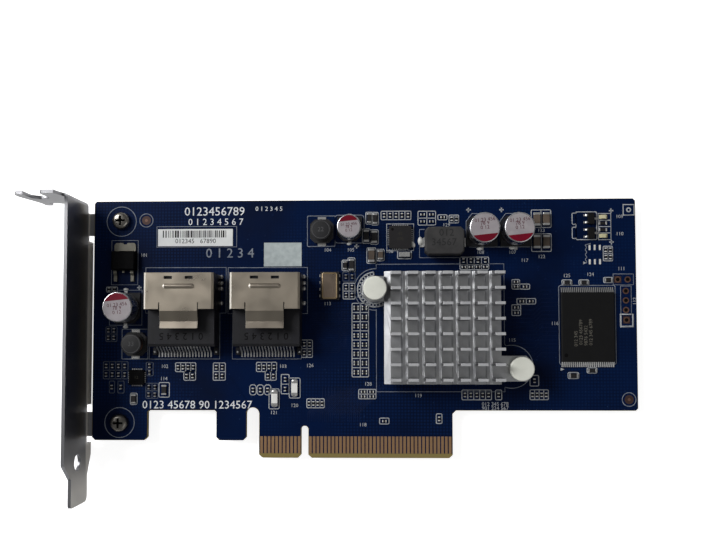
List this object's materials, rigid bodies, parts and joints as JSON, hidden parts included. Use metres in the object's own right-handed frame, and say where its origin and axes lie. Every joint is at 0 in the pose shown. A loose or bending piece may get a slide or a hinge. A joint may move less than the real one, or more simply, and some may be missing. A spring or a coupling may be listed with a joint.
{
  "type": "host bus adapter card",
  "caption": "Low-profile expansion card: dark blue circuit board with a folded slot bracket, cable ports, a pin-fin heat sink, capacitors and a gold edge connector.",
  "frame": {"origin": "bottom centre of the card's box: middle of its length and width, level with the bracket's rear edge", "axes": "+X from the bracket along the board, +Y away from the edge contacts, +Z out of the component face"},
  "size_m": [0.1598, 0.0808, 0.0225],
  "materials": {
    "board_blue": "solder mask",
    "gold_plating": "plated",
    "plated_steel": "bright plated",
    "screw_steel": "plated",
    "port_metal": "satin nickel",
    "black_plastic": "moulded",
    "tin_plating": "tinned",
    "chip_black": "moulded",
    "sink_aluminium": "extruded",
    "pad_grey": "soft",
    "white_nylon": "moulded",
    "ferrite": "ground",
    "copper_wire": "enamelled",
    "can_aluminium": "satin",
    "lid_metal": "satin",
    "ceramic_brown": "fired",
    "ceramic_white": "fired",
    "lamp_clear": "clear",
    "label_paper": "printed"
  },
  "bodies": {
    "root": {"back_edge_contacts": "gold_plating", "bracket_screws": "screw_steel", "capacitor_fourth_base": "black_plastic", "capacitor_fourth_can": "can_aluminium", "capacitor_left_base": "black_plastic", "capacitor_left_can": "can_aluminium", "capacitor_middle_base": "black_plastic", "capacitor_middle_can": "can_aluminium", "capacitor_terminals": "tin_plating", "capacitor_third_base": "black_plastic", "capacitor_third_can": "can_aluminium", "ceramic_capacitors": "ceramic_brown", "chip_fuses": "ceramic_white", "chip_terminations": "tin_plating", "circuit_board": "board_blue", "controller_chip": "chip_black", "dark_chips": "ferrite", "drum_inductor_lower_base": "black_plastic", "drum_inductor_lower_core": "ferrite", "drum_inductor_lower_winding": "copper_wire", "drum_inductor_terminals": "tin_plating", "drum_inductor_upper_base": "black_plastic", "drum_inductor_upper_core": "ferrite", "drum_inductor_upper_winding": "copper_wire", "flash_chip": "chip_black", "flash_chip_leads": "tin_plating", "front_edge_contacts": "gold_plating", "heat_sink": "sink_aluminium", "label_sticker": "label_paper", "mounting_bracket": "plated_steel", "oscillator_base": "ceramic_brown", "oscillator_lid": "lid_metal", "port_a_contacts": "tin_plating", "port_a_housing": "black_plastic", "port_a_shell": "port_metal", "port_b_contacts": "tin_plating", "port_b_housing": "black_plastic", "port_b_shell": "port_metal", "power_inductor": "ferrite", "power_inductor_terminals": "tin_plating", "power_transistor": "chip_black", "power_transistor_tab": "tin_plating", "push_pin_lower": "white_nylon", "push_pin_spring_lower": "screw_steel", "push_pin_spring_upper": "screw_steel", "push_pin_upper": "white_nylon", "regulator_chip": "chip_black", "signal_transistor_leads": "tin_plating", "signal_transistors": "chip_black", "small_controller_chip": "chip_black", "status_leds": "lamp_clear", "thermal_pad": "pad_grey", "tiny_chips": "ceramic_brown"}
  },
  "joints": []
}
